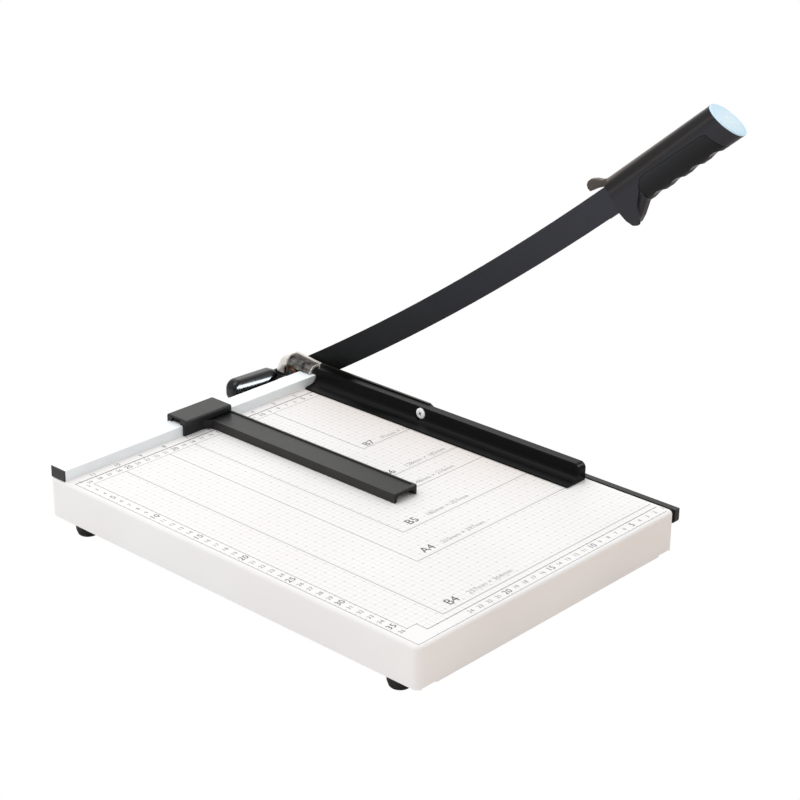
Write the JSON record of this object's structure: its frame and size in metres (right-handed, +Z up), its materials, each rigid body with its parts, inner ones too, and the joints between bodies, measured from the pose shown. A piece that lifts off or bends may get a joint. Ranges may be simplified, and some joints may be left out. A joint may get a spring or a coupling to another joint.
{
  "type": "desk paper guillotine",
  "caption": "Desk guillotine for sheets up to B4: printed steel board, back guide rail with sliding stop, sprung presser guard and a curved lever blade with moulded grip.",
  "frame": {"origin": "centre of the base's footprint, on the desk plane under the feet", "axes": "+X towards the cutting edge (right), +Y back towards the guide rail and pivot, +Z up; the user stands at -Y"},
  "size_m": [0.3249, 0.4661, 0.3681],
  "materials": {
    "board_paint": "satin, light grey-white",
    "zinc_sheet": "zinc plated",
    "foot_rubber": "matt black",
    "zinc_screw": "bright zinc",
    "rail_paint": "satin white",
    "black_plastic": "satin black moulding",
    "blackened_steel": "dark painted hardened steel",
    "brass": "plain",
    "spring_steel": "oil-blacked",
    "handle_plastic": "fine satin, dark",
    "grip_plastic": "soft satin, dark",
    "pale_plastic": "glossy pale blue",
    "nickel_steel": "satin nickel",
    "gloss_black": "dipped, glossy",
    "stop_plastic": "satin black moulding"
  },
  "bodies": {
    "base": {"base_pan": "board_paint", "board_ribs": "zinc_sheet", "rubber_feet": "foot_rubber", "foot_screws": "zinc_screw", "guide_rail": "rail_paint", "rail_end_cap": "black_plastic", "rail_screws": "zinc_screw", "fixed_blade": "blackened_steel", "fixed_blade_screws": "zinc_screw", "pivot_plate": "zinc_sheet", "pivot_plate_screws": "zinc_screw", "pivot_bush": "brass", "pivot_nut": "brass", "disc_spring": "spring_steel", "pivot_washer": "zinc_sheet", "pivot_bolt": "zinc_screw", "presser_spring": "spring_steel"},
    "blade_arm": {"cutting_blade": "blackened_steel", "handle_body": "handle_plastic", "grip_insert": "grip_plastic", "handle_end_cap": "pale_plastic", "handle_screws": "zinc_screw"},
    "presser": {"presser_guard": "black_plastic", "presser_carrier": "nickel_steel", "lever_sleeve": "gloss_black", "guard_screw": "zinc_screw", "guard_nut": "zinc_screw"},
    "paper_stop_slide": {"paper_stop": "stop_plastic", "stop_leaf_spring": "spring_steel", "stop_roller": "black_plastic"}
  },
  "joints": [
    {"name": "blade_hinge", "type": "hinge", "parent": "base", "child": "blade_arm", "pos_m": [0.15, 0.2135, 0.049], "axis": [-1, 0, 0], "range_deg": [-35, 25]},
    {"name": "presser_hinge", "type": "hinge", "parent": "base", "child": "presser", "pos_m": [0.15, 0.2135, 0.049], "axis": [-1, 0, 0], "range_deg": [0, 8], "stiffness_Nm_per_rad": 1.2, "springref_deg": -20.05, "deforming": ["presser_spring"]},
    {"name": "stop_slide", "type": "slide", "parent": "base", "child": "paper_stop_slide", "axis": [1, 0, 0], "range_m": [-0.124, 0.088]}
  ]
}
